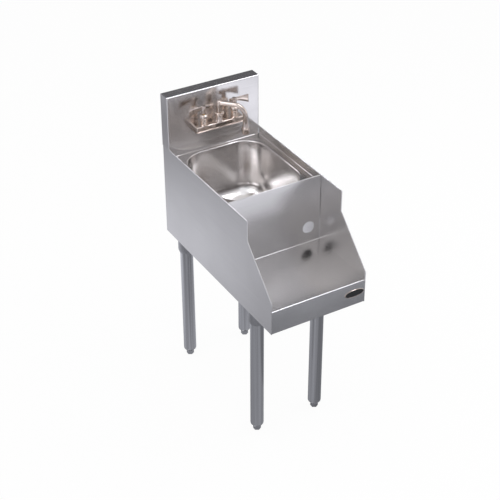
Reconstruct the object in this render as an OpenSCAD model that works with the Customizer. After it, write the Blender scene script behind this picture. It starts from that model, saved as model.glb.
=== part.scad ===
// Underbar bar sink with a blender shelf: a narrow steel station on four tube legs.
// Origin on the floor under the middle of the station, +Z up, the front faces -Y.

/* [Station] */
// Width over the side panels
station_w = 305; // [295:1:360]
// Depth from the apron to the wall
station_d = 616; // [600:1:680]
// Thickness of the sheet steel
sheet = 1.5; // [1:0.1:2]
// Outer radius of the folds
fold_r = 3; // [2.5:0.1:4]

/* [Side panels] */
// Height of the body's lower edge above the floor
body_z = 477; // [470:1:490]
// Height of a side panel
side_h = 295; // [285:1:320]
// Depth of the low part of the side panels in front
shoulder_y = 128; // [100:1:150]
// Drop from the side top to the start of the slope
shoulder_drop = 64; // [40:1:80]
// Height of the side panel's lip above the apron
lip_h = 27; // [15:1:40]
// Width of the hem folded inside the edges
hem_w = 8; // [6:0.5:10]
// Step of the panels' rear edge in front of the wall
panel_step = 3; // [2:0.5:6]

/* [Shelf] */
// Height of the apron
apron_h = 75; // [60:1:90]
// Depth of the shelf, from the apron to the partition
shelf_d = 233; // [210:1:250]
// Rise of the shelf from front to back
shelf_rise = 7; // [2:0.5:12]
// Width of the apron's lower return
apron_return = 18; // [12:1:25]
// Diameter of the cord hole
cord_hole_d = 38.1; // [25:0.1:50]
// Distance of the cord hole from the right side
cord_hole_in = 40; // [35:1:60]
// Height of the cord hole above the shelf
cord_hole_up = 49.5; // [40:0.5:70]

/* [Deck and bowl] */
// Drop from the side top to the deck
deck_drop = 26.5; // [18:0.5:40]
// Width of the bowl
bowl_w = 254; // [220:1:260]
// Length of the bowl, front to back
bowl_l = 305; // [270:1:310]
// Depth of the bowl
bowl_depth = 178; // [150:1:190]
// Corner radius of the bowl
bowl_corner = 70; // [60:1:80]
// Radius between the bowl's walls and its floor
bowl_cove = 42; // [30:1:50]
// Wall thickness of the bowl
bowl_wall = 1.2; // [1:0.1:1.5]
// Radius of the bowl's rim
rim_r = 3; // [2:0.5:5]
// Gap from the bowl to the backsplash
bowl_back = 15; // [10:1:20]

/* [Backsplash] */
// Height of the backsplash above the side panels
splash_h = 166; // [140:1:260]
// Depth of the backsplash
splash_t = 38.5; // [34:0.5:50]
// Width of the backsplash's rear lip
splash_lip = 12; // [8:1:16]

/* [Legs] */
// Outer diameter of the leg tube
leg_d = 40; // [38:0.5:42]
// Wall thickness of the leg tube
leg_wall = 1.5; // [1.2:0.1:2]
// Leg centre from the side
leg_inset = 50; // [45:1:60]
// Front leg centre from the front
leg_front = 160; // [130:1:190]
// Rear leg centre from the wall
leg_back = 30; // [29:1:40]
// Outer diameter of a leg socket
socket_d = 50; // [47:0.5:52]
// Length of a leg socket
socket_h = 81; // [60:1:100]
// Width of a leg channel
channel_w = 52; // [52:1:56]
// Height of a leg channel
channel_h = 25; // [20:1:35]
// Hexagon of a foot, across its flats
foot_af = 21; // [18:0.5:24]
// Height of a foot's hexagon
foot_hex_h = 14; // [10:1:18]
// Height of a foot's tapered shoulder
foot_taper_h = 9.7; // [8:0.1:14]
// Diameter of a foot's stud
foot_stud_d = 12; // [10:0.5:14]
// Length of a foot's stud
foot_stud_l = 50; // [45:1:60]

/* [Faucet] */
// Width of the faucet body
faucet_w = 156; // [150:1:170]
// Projection of the faucet body from the backsplash
faucet_d = 40.5; // [38:0.5:46]
// Height of the faucet body
faucet_h = 24; // [22:0.5:28]
// Height of the faucet body's top above the deck
faucet_up = 95.5; // [85:0.5:110]
// Distance between the two valves
valve_pitch = 101.6; // [98:0.2:106]
// Distance of the valves and the spout from the backsplash
valve_out = 31; // [29:0.5:31.5]
// Diameter of the supply shanks
shank_d = 20.9; // [19:0.1:22]
// Reach of the spout
spout_reach = 80; // [76:1:110]
// Diameter of the spout tube
spout_d = 14; // [12:0.5:15]
// Bend radius of the spout
spout_bend = 34; // [30:1:36]
// Height of the spout's level run above the body
spout_up = 58.5; // [58:0.5:70]
// Swing of the spout to the right in the stored pose
spout_turn = 43; // [0:1:60]
// Length of a lever outside its stem
lever_out = 47.5; // [40:0.5:52]
// Length of a lever's inner tail
lever_in = 16.5; // [12:0.5:17]
// Height of a lever's outer end
lever_end_h = 26; // [20:0.5:28]

/* [Drain] */
// Diameter of the drain flange
drain_flange_d = 84; // [80:1:95]
// Diameter of the drain throat, inside
drain_throat_d = 40; // [36:0.5:42]
// Length of the drain body below the bowl
drain_body_l = 40; // [38:1:50]
// Outer diameter of the tailpiece
tail_d = 38.1; // [38:0.1:38.6]
// Length of the tailpiece below its nut
tail_l = 62; // [50:1:80]

/* [Hidden] */
$fn = 64;

// Overrun of a cut past a face, and the gap between pieces that slip together
over = 1;
slip = 0.3;
run_gap = 0.05;

// Planes of the body
front = -station_d / 2;
back = station_d / 2;
side_in = station_w / 2 - sheet;
side_top = body_z + side_h;
station_h = side_top + splash_h;
apron_top = body_z + apron_h;
deck_z = side_top - deck_drop;
splash_y = back - splash_t;
part_y = front + shelf_d;
shelf_angle = atan(shelf_rise / shelf_d);
shelf_back_z = apron_top + shelf_rise;

// Bowl
bowl_y = splash_y - bowl_back - bowl_l / 2;
bowl_floor = deck_z - bowl_depth;
cove_z = bowl_floor + bowl_cove;
drain_seat = 3;
drain_seat_r = drain_flange_d / 2 + 2 * over;

// Sheet details
tongue = 20;
deck_front_lip = 12;
deck_side_lip = 14;
deck_fillet = 3;
notch_gap = 1;
fold_steps = 8;
rail_h = 40;
rail_lip = 14;

// Legs and feet
leg_x = station_w / 2 - leg_inset;
leg_fy = front + leg_front;
leg_by = back - leg_back;
channel_z = body_z + 2 * sheet;
socket_taper = 10;
socket_lip = 1;
socket_screw_d = 8;
socket_screw_l = 9;
socket_boss_d = 15;
socket_boss_l = 5;
socket_boss_up = 42;
foot_gap = slip;
leg_z = foot_hex_h + foot_taper_h + foot_gap;
insert_h = 16;

// Faucet
faucet_z = deck_z + faucet_up;
valve_y = splash_y - valve_out;
faucet_plan_r = 6;
faucet_top_r = 3;
faucet_under_r = 14;
pad_r = 12.7;
pad_h = 3;
post_ring_r = 11.6;
post_r = 10;
post_h = 24;
post_bore_d = 12;
post_bore_l = 26;
neck_r = 8.2;
stem_bore_r = 3.5;
collar_r = 9.4;
collar_t = 1.5;
seal_t = 1;
spout_nut_af = 26;
spout_nut_h = 9;
spout_nut_drop = 3;
spout_z = faucet_z + spout_up;
seal_levels = [faucet_z + post_h - post_bore_l / 2, faucet_z + post_h - post_bore_l / 3];
spout_bore = 1.5;
spout_cone_h = 22;
spout_drop = 69;
aerator_r = 12.6;
aerator_h = 19;
aerator_top = 4;
aerator_grip_z = 5;
aerator_grip_h = 13;
aerator_ring_r = 10.6;
aerator_wall = 1.5;
aerator_screen = 2;
shank_end = 5;
shank_bore_d = 13;
shank_hole_d = shank_d + 2 * over;
shank_nut_af = 30;
shank_nut_h = 9;
shank_washer_d = 34;
shank_washer_t = 2;
shank_drop = faucet_h / 2;
shank_root = 0.65;
shank_root_r = shank_d / 2 + shank_root;
shank_root_l = 15;
bonnet_r = 10.5;
bonnet_h = 21;
bonnet_cap_r = 12.7;
bonnet_cap_h = 8;
bonnet_cone_r = 8.5;
bonnet_cone_h = 3;
stem_d = 8;
hub_r = 7;
hub_h = 24;
hub_wall = 2.5;
lever_t = 3;
lever_neck_h = 11;
lever_z = faucet_z + 61.5;
hub_z = lever_z - hub_h;
handle_screw_r = 4;
handle_screw_h = 2;
handle_screw_shank_d = 4;
handle_screw_shank_l = 8;

// Drain
drain_wall = 3.5;
drain_flange_t = 1.5;
drain_top = bowl_floor - drain_seat + drain_flange_t;
drain_body_r = drain_throat_d / 2 + drain_wall;
strainer_seat_r = drain_throat_d / 2 + 5;
strainer_gap = 0.4;
strainer_t = 1.5;
strainer_skirt_h = 5;
strainer_hole_r = 2.2;
strainer_ring_r = 14;
strainer_knob_r = 4.5;
strainer_knob_h = 9;
gasket_t = 3;
gasket_r = 37;
locknut_t = 9;
locknut_r = 35;
locknut_lug = 4;
locknut_lug_w = 10;
tail_wall = 1.2;
tail_flange_t = 2;
tail_nut_t = 14;
tail_nut_lip = 3;
tail_nut_af = 56;
tail_nut_gap = 0.4;
tail_swage = 0.65;
tail_swage_r = tail_d / 2 + tail_swage;
seat_z = bowl_floor - drain_seat;
under_z = seat_z - bowl_wall;
drain_bottom = under_z - drain_body_l;
tail_top = drain_bottom - tail_flange_t;

// Colours
steel = [0.66, 0.67, 0.69];
steel_dark = [0.55, 0.56, 0.58];
chrome = [0.86, 0.86, 0.87];
brass = [0.78, 0.64, 0.36];
rubber = [0.12, 0.12, 0.12];

// Hexagonal prism measured across its flats
module hex_prism(af, h) {
    cylinder(r = af / sqrt(3), h = h, $fn = 6);
}

// Hexagonal nut with its upper corners chamfered
module hex_nut(af, h) {
    flare = h * tan(60);
    intersection() {
        hex_prism(af, h);
        cylinder(r1 = af / 2 + flare, r2 = af / 2, h = h);
    }
}

// Flat ring standing on its lower face
module ring(outer_r, inner_r, h) {
    difference() {
        cylinder(r = outer_r, h = h);
        translate([0, 0, -over]) cylinder(r = inner_r, h = h + 2 * over);
    }
}

// Rectangle with round corners, centred
module round_rect(w, l, r) {
    square([w - 2 * r, l], center = true);
    square([w, l - 2 * r], center = true);
    for (x = [-1, 1], y = [-1, 1]) {
        translate([x * (w / 2 - r), y * (l / 2 - r)]) circle(r);
    }
}

// Extrudes a profile drawn in the Y and Z directions along X, centred on the station
module across(w) {
    rotate([90, 0, 90]) linear_extrude(w, center = true) children();
}

// Outline of a side panel, seen from its side
module side_outline() {
    rear = back - panel_step;
    shoulder_z = side_top - shoulder_drop;
    polygon([
        [front, body_z],
        [front, apron_top + lip_h],
        [front + shoulder_y, shoulder_z],
        [front + shoulder_y, side_top],
        [rear, side_top],
        [rear, body_z]
    ]);
}

// Side panel with the hem turned in along its open front and top edges
module side_panel(side) {
    color(steel) {
        translate([side * (side_in + sheet / 2), 0, 0]) across(sheet) side_outline();
        translate([side * (side_in - sheet / 2), 0, 0]) across(sheet) intersection() {
            difference() {
                side_outline();
                translate([hem_w, -hem_w]) side_outline();
            }
            translate([front, apron_top + 2 * sheet]) square([splash_y - front, side_h]);
        }
    }
}

module left_side_panel() {
    side_panel(-1);
}

module right_side_panel() {
    side_panel(1);
}

// Partition: an upright panel with a hem along its top and the cord hole
module partition_panel() {
    hem_in = side_in - sheet - notch_gap;
    notch_z = side_top - hem_w - notch_gap;
    low_z = shelf_back_z - tongue;
    color(steel) difference() {
        union() {
            translate([-side_in, part_y, low_z]) cube([2 * side_in, sheet, notch_z - low_z]);
            translate([-hem_in, part_y, notch_z - over]) {
                cube([2 * hem_in, sheet, side_top - sheet - notch_z + over]);
            }
            translate([-hem_in, part_y + sheet, side_top - hem_w]) {
                cube([2 * hem_in, sheet, hem_w - sheet]);
            }
            translate([0, part_y + sheet, side_top - sheet]) rotate([0, 90, 0]) {
                cylinder(r = sheet, h = 2 * hem_in, center = true);
            }
        }
        translate([station_w / 2 - cord_hole_in, part_y - over, shelf_back_z + cord_hole_up]) {
            rotate([-90, 0, 0]) cylinder(d = cord_hole_d, h = 3 * over + sheet);
        }
    }
}

// Points along a fold, from one angle to another
function fold_points(y, z, r, a0, a1) = [
    for (i = [0 : fold_steps]) let (a = a0 + (a1 - a0) * i / fold_steps) [y + r * cos(a), z + r * sin(a)]
];

// Shelf, apron and the apron's lower return, folded from one sheet
module blender_shelf() {
    a = shelf_angle;
    inner_r = fold_r - sheet;
    low_z = body_z + fold_r;
    fold_z = apron_top + fold_r * tan(a) - fold_r / cos(a);
    outer_face = concat(
        [[apron_return, body_z]],
        fold_points(fold_r, low_z, fold_r, 270, 180),
        fold_points(fold_r, fold_z, fold_r, 180, 90 + a),
        [[shelf_d, shelf_back_z]]
    );
    inner_face = concat(
        [[shelf_d, shelf_back_z - sheet / cos(a)]],
        fold_points(fold_r, fold_z, inner_r, 90 + a, 180),
        fold_points(fold_r, low_z, inner_r, 180, 270),
        [[apron_return, body_z + sheet]]
    );
    color(steel) across(2 * side_in) translate([front, 0]) polygon(concat(outer_face, inner_face));
}

// Deck round the bowl with an upstand in front and behind and lips turned down at the sides
module sink_deck() {
    deck_l = splash_y - part_y - sheet;
    hem_in = side_in - sheet - notch_gap;
    color(steel) {
        difference() {
            translate([-side_in, part_y + sheet, deck_z - sheet]) cube([2 * side_in, deck_l, sheet]);
            translate([0, bowl_y, deck_z - sheet - over]) linear_extrude(sheet + 2 * over) {
                round_rect(bowl_w + 2 * rim_r, bowl_l + 2 * rim_r, bowl_corner + rim_r);
            }
        }
        translate([-hem_in, splash_y - sheet, deck_z - sheet]) cube([2 * hem_in, sheet, deck_drop + sheet]);
        translate([-side_in, part_y + sheet, deck_z - sheet]) cube([2 * side_in, sheet, deck_front_lip]);
        across(2 * hem_in) translate([splash_y - sheet, deck_z]) difference() {
            translate([-deck_fillet, -sheet / 2]) square([deck_fillet + sheet / 2, deck_fillet + sheet / 2]);
            translate([-deck_fillet, deck_fillet]) circle(deck_fillet);
        }
        for (side = [-1, 1]) {
            translate([side * (side_in - sheet / 2), part_y + sheet + deck_l / 2, deck_z - deck_side_lip / 2]) {
                cube([sheet, deck_l, deck_side_lip], center = true);
            }
        }
    }
}

// Section of the bowl's wall, measured from the centre of a corner
module bowl_section() {
    intersection() {
        translate([bowl_corner + rim_r, deck_z - rim_r]) circle(rim_r);
        translate([bowl_corner, deck_z - rim_r]) square(rim_r);
    }
    translate([bowl_corner, cove_z]) square([bowl_wall, deck_z - rim_r - cove_z]);
    translate([bowl_corner - bowl_cove, cove_z]) intersection() {
        difference() {
            circle(bowl_cove + bowl_wall);
            circle(bowl_cove);
        }
        translate([0, -bowl_cove - bowl_wall]) square(bowl_cove + bowl_wall);
    }
}

// Drawn bowl: the wall section swept round the corners and sides, with a floor and a drain seat
module sink_bowl() {
    flat_w = bowl_w - 2 * bowl_cove;
    flat_l = bowl_l - 2 * bowl_cove;
    flat_r = bowl_corner - bowl_cove;
    x = bowl_w / 2 - bowl_corner;
    y = bowl_l / 2 - bowl_corner;
    color(steel) translate([0, bowl_y, 0]) {
        for (c = [[x, y, 0], [-x, y, 90], [-x, -y, 180], [x, -y, 270]]) {
            translate([c[0], c[1], 0]) rotate([0, 0, c[2]]) rotate_extrude(angle = 90) bowl_section();
        }
        for (s = [-1, 1]) {
            translate([s * x, s * y, 0]) rotate([90, 0, s * 90 - 90]) {
                linear_extrude(2 * y) bowl_section();
            }
            translate([s * x, -s * y, 0]) rotate([90, 0, s * 90 - 180]) {
                linear_extrude(2 * x) bowl_section();
            }
        }
        difference() {
            union() {
                translate([0, 0, bowl_floor - bowl_wall]) linear_extrude(bowl_wall) round_rect(flat_w, flat_l, flat_r);
                translate([0, 0, under_z]) cylinder(r = drain_seat_r + bowl_wall, h = drain_seat + bowl_wall / 2);
            }
            translate([0, 0, seat_z]) cylinder(r = drain_seat_r, h = drain_seat + over);
            translate([0, 0, under_z - over]) cylinder(r = drain_body_r + slip, h = drain_seat + bowl_wall + 2 * over);
        }
    }
}

// Backsplash outer form, drawn inset: upright edges and the top front edge are folded
module splash_form(inset, deep, low_z) {
    half = station_w / 2 - inset;
    r = fold_r - inset;
    intersection() {
        translate([0, 0, low_z]) linear_extrude(station_h - low_z) {
            translate([-half, splash_y + fold_r]) square([2 * half, deep]);
            translate([-half + r, splash_y + inset]) square([2 * half - 2 * r, deep]);
            for (s = [-1, 1]) translate([s * (half - r), splash_y + fold_r]) circle(r);
        }
        across(station_w) {
            translate([splash_y + inset, low_z]) square([deep + fold_r, station_h - fold_r - low_z]);
            translate([splash_y + fold_r, low_z]) square([deep, station_h - inset - low_z]);
            translate([splash_y + fold_r, station_h - fold_r]) circle(r);
        }
    }
}

// Backsplash: a folded box, open behind, with a rear lip and a tongue that drops behind the deck
module backsplash() {
    tongue_w = side_in - sheet - notch_gap;
    window_w = station_w - 2 * splash_lip;
    color(steel) difference() {
        union() {
            difference() {
                splash_form(0, splash_t - fold_r, side_top);
                splash_form(sheet, splash_t - fold_r - sheet, side_top - over);
                translate([-window_w / 2, back - 2 * sheet, side_top - over]) {
                    cube([window_w, 3 * sheet, station_h - side_top + over - splash_lip]);
                }
            }
            translate([-tongue_w, splash_y, deck_z - tongue]) {
                cube([2 * tongue_w, sheet, side_top - deck_z + tongue + sheet]);
            }
        }
        for (s = [-1, 1]) {
            translate([s * valve_pitch / 2, splash_y - over, faucet_z - shank_drop]) rotate([-90, 0, 0]) {
                cylinder(d = shank_hole_d, h = sheet + 2 * over);
            }
        }
    }
}

// Angle rail that ties the side panels together behind, under the tongue
module rear_tie_rail() {
    y = back - panel_step;
    z = channel_z + channel_h + rail_h;
    color(steel_dark) {
        translate([-side_in, y - sheet, z]) cube([2 * side_in, sheet, rail_h]);
        translate([-side_in, y - rail_lip, z + rail_h - sheet]) cube([2 * side_in, rail_lip, sheet]);
    }
}

// Upturned channel under the body that carries two leg sockets
module leg_channel(y) {
    color(steel_dark) translate([-side_in, y - channel_w / 2, channel_z]) difference() {
        cube([2 * side_in, channel_w, channel_h]);
        translate([-over, sheet, sheet]) cube([2 * side_in + 2 * over, channel_w - 2 * sheet, channel_h]);
    }
}

module front_leg_channel() {
    leg_channel(leg_fy);
}

module rear_leg_channel() {
    leg_channel(leg_by);
}

// Leg socket: a sleeve with a tapered mouth and a screw boss on its inner side
module leg_socket(x, y) {
    inward = x > 0 ? 180 : 0;
    boss_z = channel_z - socket_boss_up;
    color(steel_dark) translate([x, y, 0]) difference() {
        union() {
            translate([0, 0, channel_z - socket_h + socket_taper]) {
                cylinder(d = socket_d, h = socket_h - socket_taper);
            }
            translate([0, 0, channel_z - socket_h]) {
                cylinder(r1 = leg_d / 2 + slip + socket_lip, r2 = socket_d / 2, h = socket_taper);
            }
            translate([0, 0, boss_z]) rotate([0, 90, inward]) {
                cylinder(d = socket_boss_d, h = socket_d / 2 + socket_boss_l);
            }
        }
        translate([0, 0, channel_z - socket_h - over]) cylinder(d = leg_d + 2 * slip, h = socket_h + 2 * over);
        translate([0, 0, boss_z]) rotate([0, 90, inward]) {
            cylinder(d = socket_screw_d, h = socket_d);
        }
    }
}

module front_left_socket() {
    leg_socket(-leg_x, leg_fy);
}

module front_right_socket() {
    leg_socket(leg_x, leg_fy);
}

module rear_left_socket() {
    leg_socket(-leg_x, leg_by);
}

module rear_right_socket() {
    leg_socket(leg_x, leg_by);
}

// Leg tube from its foot up into the socket
module leg_tube(x, y) {
    color(steel) translate([x, y, leg_z]) ring(leg_d / 2, leg_d / 2 - leg_wall, channel_z - leg_z);
}

module front_left_leg() {
    leg_tube(-leg_x, leg_fy);
}

module front_right_leg() {
    leg_tube(leg_x, leg_fy);
}

module rear_left_leg() {
    leg_tube(-leg_x, leg_by);
}

module rear_right_leg() {
    leg_tube(leg_x, leg_by);
}

// One screw in each socket boss, bearing on the leg
module socket_screws() {
    for (x = [-1, 1], y = [leg_fy, leg_by]) {
        translate([x * leg_x, y, channel_z - socket_boss_up]) rotate([0, x > 0 ? -90 : 90, 0]) {
            color(steel_dark) translate([0, 0, leg_d / 2 + run_gap]) difference() {
                cylinder(d = socket_screw_d - 2 * run_gap, h = socket_screw_l + slip);
                translate([0, 0, socket_screw_l / 2]) hex_prism(socket_screw_d / 2, socket_screw_l);
            }
        }
    }
}

// Threaded inserts pressed into the lower ends of the legs
module foot_inserts() {
    for (x = [-1, 1], y = [leg_fy, leg_by]) {
        color(steel_dark) translate([x * leg_x, y, leg_z]) {
            ring(leg_d / 2 - leg_wall - run_gap, foot_stud_d / 2 + run_gap, insert_h);
        }
    }
}

// Foot: hexagonal barrel, tapered shoulder and a stud up into the insert
module foot(x, y) {
    color(steel_dark) translate([x, y, 0]) {
        hex_prism(foot_af, foot_hex_h);
        translate([0, 0, foot_hex_h]) {
            cylinder(r1 = foot_af / 2, r2 = leg_d / 2 - slip, h = foot_taper_h);
            cylinder(d = foot_stud_d, h = foot_taper_h + foot_stud_l);
        }
    }
}

module front_left_foot() {
    foot(-leg_x, leg_fy);
}

module front_right_foot() {
    foot(leg_x, leg_fy);
}

module rear_left_foot() {
    foot(-leg_x, leg_by);
}

module rear_right_foot() {
    foot(leg_x, leg_by);
}

// Section of the faucet body, seen from its end
module faucet_section() {
    top_r = faucet_top_r;
    low_r = faucet_under_r;
    face_y = splash_y - faucet_d;
    low_z = faucet_z - faucet_h;
    translate([face_y, low_z + low_r]) square([faucet_d, faucet_h - low_r - top_r]);
    translate([face_y + top_r, low_z + low_r]) square([faucet_d - top_r, faucet_h - low_r]);
    translate([face_y + low_r, low_z]) square([faucet_d - low_r, faucet_h]);
    translate([face_y + top_r, faucet_z - top_r]) circle(top_r);
    translate([face_y + low_r, low_z + low_r]) circle(low_r);
}

// Faucet casting: a rounded bar against the backsplash, valve pads and the spout post
module faucet_body() {
    plan_r = faucet_plan_r;
    low_z = faucet_z - faucet_h;
    color(chrome) difference() {
        union() {
            intersection() {
                across(faucet_w) faucet_section();
                translate([0, splash_y - faucet_d / 2, low_z]) linear_extrude(faucet_h) {
                    round_rect(faucet_w, faucet_d, plan_r);
                    translate([-faucet_w / 2, 0]) square([faucet_w, faucet_d / 2]);
                }
            }
            for (x = [-1, 1]) {
                translate([x * valve_pitch / 2, valve_y, faucet_z - over]) cylinder(r = pad_r, h = pad_h + over);
            }
            translate([0, valve_y, faucet_z - over]) {
                cylinder(r = post_ring_r, h = pad_h + over);
                cylinder(r = post_r, h = post_h + over);
            }
        }
        translate([0, valve_y, faucet_z + post_h - post_bore_l]) {
            cylinder(d = post_bore_d + 2 * run_gap, h = post_bore_l + over);
        }
    }
}

// Threaded supply shanks through the backsplash
module supply_shanks() {
    shank_l = splash_t - shank_end;
    for (s = [-1, 1]) {
        color(brass) translate([s * valve_pitch / 2, splash_y, faucet_z - shank_drop]) rotate([-90, 0, 0]) {
            ring(shank_d / 2, shank_bore_d / 2, shank_l);
            ring(shank_root_r, shank_bore_d / 2, shank_root_l);
        }
    }
}

// Washers between the backsplash and the shank nuts
module shank_washers() {
    for (s = [-1, 1]) {
        color(rubber) translate([s * valve_pitch / 2, splash_y + sheet, faucet_z - shank_drop]) {
            rotate([-90, 0, 0]) ring(shank_washer_d / 2, shank_root_r + run_gap, shank_washer_t);
        }
    }
}

// Lock nuts on the shanks behind the backsplash
module shank_nuts() {
    for (s = [-1, 1]) {
        color(brass) translate([s * valve_pitch / 2, splash_y + sheet + shank_washer_t, faucet_z - shank_drop]) {
            rotate([-90, 0, 0]) difference() {
                hex_nut(shank_nut_af, shank_nut_h);
                translate([0, 0, -over]) cylinder(r = shank_root_r + run_gap, h = shank_nut_h + 2 * over);
            }
        }
    }
}

// Valve bonnet: a round body under a wider cap with a coned top
module valve_bonnet(side) {
    base = faucet_z + pad_h;
    cap_z = bonnet_h + bonnet_cap_h;
    color(chrome) translate([side * valve_pitch / 2, valve_y, base]) difference() {
        union() {
            cylinder(r = bonnet_r, h = bonnet_h);
            translate([0, 0, bonnet_h]) cylinder(r = bonnet_cap_r, h = bonnet_cap_h);
            translate([0, 0, cap_z]) cylinder(r1 = bonnet_cap_r, r2 = bonnet_cone_r, h = bonnet_cone_h);
        }
        translate([0, 0, -over]) cylinder(r = stem_d / 2 + run_gap, h = cap_z + bonnet_cone_h + 2 * over);
    }
}

module left_valve_bonnet() {
    valve_bonnet(-1);
}

module right_valve_bonnet() {
    valve_bonnet(1);
}

// Valve stem from the body up into the lever's hub
module valve_stem(side) {
    base = faucet_z + pad_h + slip;
    color(brass) translate([side * valve_pitch / 2, valve_y, base]) difference() {
        cylinder(d = stem_d, h = lever_z - hub_wall - base);
        translate([0, 0, lever_z - hub_wall - base - handle_screw_shank_l]) {
            cylinder(d = handle_screw_shank_d, h = handle_screw_shank_l + over);
        }
    }
}

module left_valve_stem() {
    valve_stem(-1);
}

module right_valve_stem() {
    valve_stem(1);
}

// Wing lever: an upright blade, flared at both ends, on a round hub
module lever_handle(side) {
    low = lever_neck_h;
    tip = lever_end_h;
    out = lever_out;
    tail = lever_in;
    mid_share = 0.5;
    mid_h_share = 0.62;
    tail_h_share = 1.15;
    color(chrome) translate([side * valve_pitch / 2, valve_y, 0]) difference() {
        union() {
            translate([0, 0, hub_z]) cylinder(r = hub_r, h = hub_h);
            translate([0, 0, lever_z]) rotate([90, 0, 0]) linear_extrude(lever_t, center = true) {
                polygon([
                    [-side * tail, 0],
                    [side * out, 0],
                    [side * out, -tip],
                    [side * out * mid_share, -tip * mid_h_share],
                    [side * hub_r, -low],
                    [-side * hub_r, -low],
                    [-side * tail, -low * tail_h_share]
                ]);
            }
        }
        translate([0, 0, hub_z - over]) cylinder(d = stem_d + 2 * run_gap, h = hub_h - hub_wall + over);
        translate([0, 0, hub_z]) cylinder(d = handle_screw_shank_d + 2 * run_gap, h = hub_h + over);
        translate([0, 0, lever_z - handle_screw_h]) cylinder(r = handle_screw_r + run_gap, h = handle_screw_h + over);
    }
}

module left_handle() {
    lever_handle(-1);
}

module right_handle() {
    lever_handle(1);
}

// Screw in the top of a lever's hub
module handle_screw(side) {
    color(chrome) translate([side * valve_pitch / 2, valve_y, lever_z]) difference() {
        union() {
            translate([0, 0, -handle_screw_h]) cylinder(r = handle_screw_r, h = handle_screw_h);
            translate([0, 0, -handle_screw_h - handle_screw_shank_l]) {
                cylinder(d = handle_screw_shank_d - 2 * run_gap, h = handle_screw_shank_l);
            }
        }
        cube([2 * handle_screw_r + over, handle_screw_h / 2, handle_screw_h], center = true);
    }
}

module left_handle_screw() {
    handle_screw(-1);
}

module right_handle_screw() {
    handle_screw(1);
}

// Nut that holds the spout's collar down on the post
module spout_nut() {
    z = faucet_z + post_h - spout_nut_drop;
    color(chrome) translate([0, valve_y, z]) difference() {
        hex_nut(spout_nut_af, spout_nut_h);
        translate([0, 0, -over]) cylinder(r = post_r + run_gap, h = spout_nut_drop + collar_t + slip + over);
        cylinder(r = neck_r + run_gap, h = spout_nut_h + over);
    }
}

// Solid along the spout's centre line, drawn at a radius
module spout_path(r) {
    turn_x = spout_reach - spout_bend;
    rotate([0, 90, 0]) cylinder(r = r, h = turn_x);
    translate([turn_x, 0, -spout_bend]) rotate([90, 0, 0]) rotate_extrude(angle = 90) {
        translate([spout_bend, 0]) circle(r);
    }
}

// Swing spout: stem in the post, upright neck, level run, bend and flared outlet
module spout() {
    r = spout_d / 2;
    stem_z = faucet_z + post_h;
    outlet_z = spout_z - spout_drop;
    color(chrome) translate([0, valve_y, 0]) rotate([0, 0, spout_turn - 90]) {
        difference() {
            union() {
                translate([0, 0, stem_z - post_bore_l + over]) cylinder(d = post_bore_d, h = post_bore_l);
                translate([0, 0, stem_z + run_gap]) {
                    cylinder(r = collar_r, h = collar_t);
                    cylinder(r = neck_r, h = spout_z - stem_z - run_gap);
                }
                translate([0, 0, spout_z]) sphere(r = neck_r);
                translate([0, 0, spout_z]) spout_path(r);
                translate([spout_reach, 0, outlet_z + spout_cone_h]) {
                    cylinder(r = r, h = spout_drop - spout_bend - spout_cone_h);
                }
                translate([spout_reach, 0, outlet_z]) cylinder(r1 = aerator_ring_r, r2 = r, h = spout_cone_h);
            }
            for (z = seal_levels) {
                translate([0, 0, z]) ring(post_bore_d, post_bore_d / 2 - seal_t, seal_t);
            }
            translate([0, 0, stem_z - post_bore_l]) cylinder(r = stem_bore_r, h = spout_z - stem_z + post_bore_l);
            translate([0, 0, spout_z]) spout_path(r - spout_bore);
            translate([spout_reach, 0, outlet_z - over]) {
                cylinder(r = r - spout_bore, h = spout_drop - spout_bend + over);
            }
        }
    }
}

// Seal rings in the grooves of the spout's stem
module spout_seals() {
    for (z = seal_levels) {
        color(rubber) translate([0, valve_y, z]) ring(post_bore_d / 2, post_bore_d / 2 - seal_t, seal_t);
    }
}

// Aerator: a grip shell over a smaller outlet ring, with a screen inside
module aerator() {
    inner_r = aerator_ring_r - aerator_wall;
    color(chrome) translate([0, valve_y, 0]) rotate([0, 0, spout_turn - 90]) {
        translate([spout_reach, 0, spout_z - spout_drop - aerator_h]) {
            difference() {
                union() {
                    cylinder(r = aerator_ring_r, h = aerator_h);
                    translate([0, 0, aerator_grip_z]) cylinder(r = aerator_r, h = aerator_grip_h);
                }
                translate([0, 0, -over]) {
                    cylinder(r = inner_r, h = aerator_h - aerator_top + over);
                    cylinder(r = spout_d / 2 - spout_bore, h = aerator_h + 2 * over);
                }
            }
            translate([0, 0, aerator_screen]) cylinder(r = inner_r, h = aerator_screen);
        }
    }
}

// Drain flange and threaded body in one piece
module drain_flange() {
    bore_r = drain_throat_d / 2;
    color(chrome) translate([0, bowl_y, 0]) difference() {
        union() {
            translate([0, 0, seat_z]) cylinder(d = drain_flange_d, h = drain_flange_t);
            translate([0, 0, drain_bottom]) cylinder(r = drain_body_r, h = seat_z - drain_bottom);
        }
        translate([0, 0, drain_bottom - over]) cylinder(r = bore_r, h = drain_body_l + drain_seat + 2 * over);
    }
}

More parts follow.
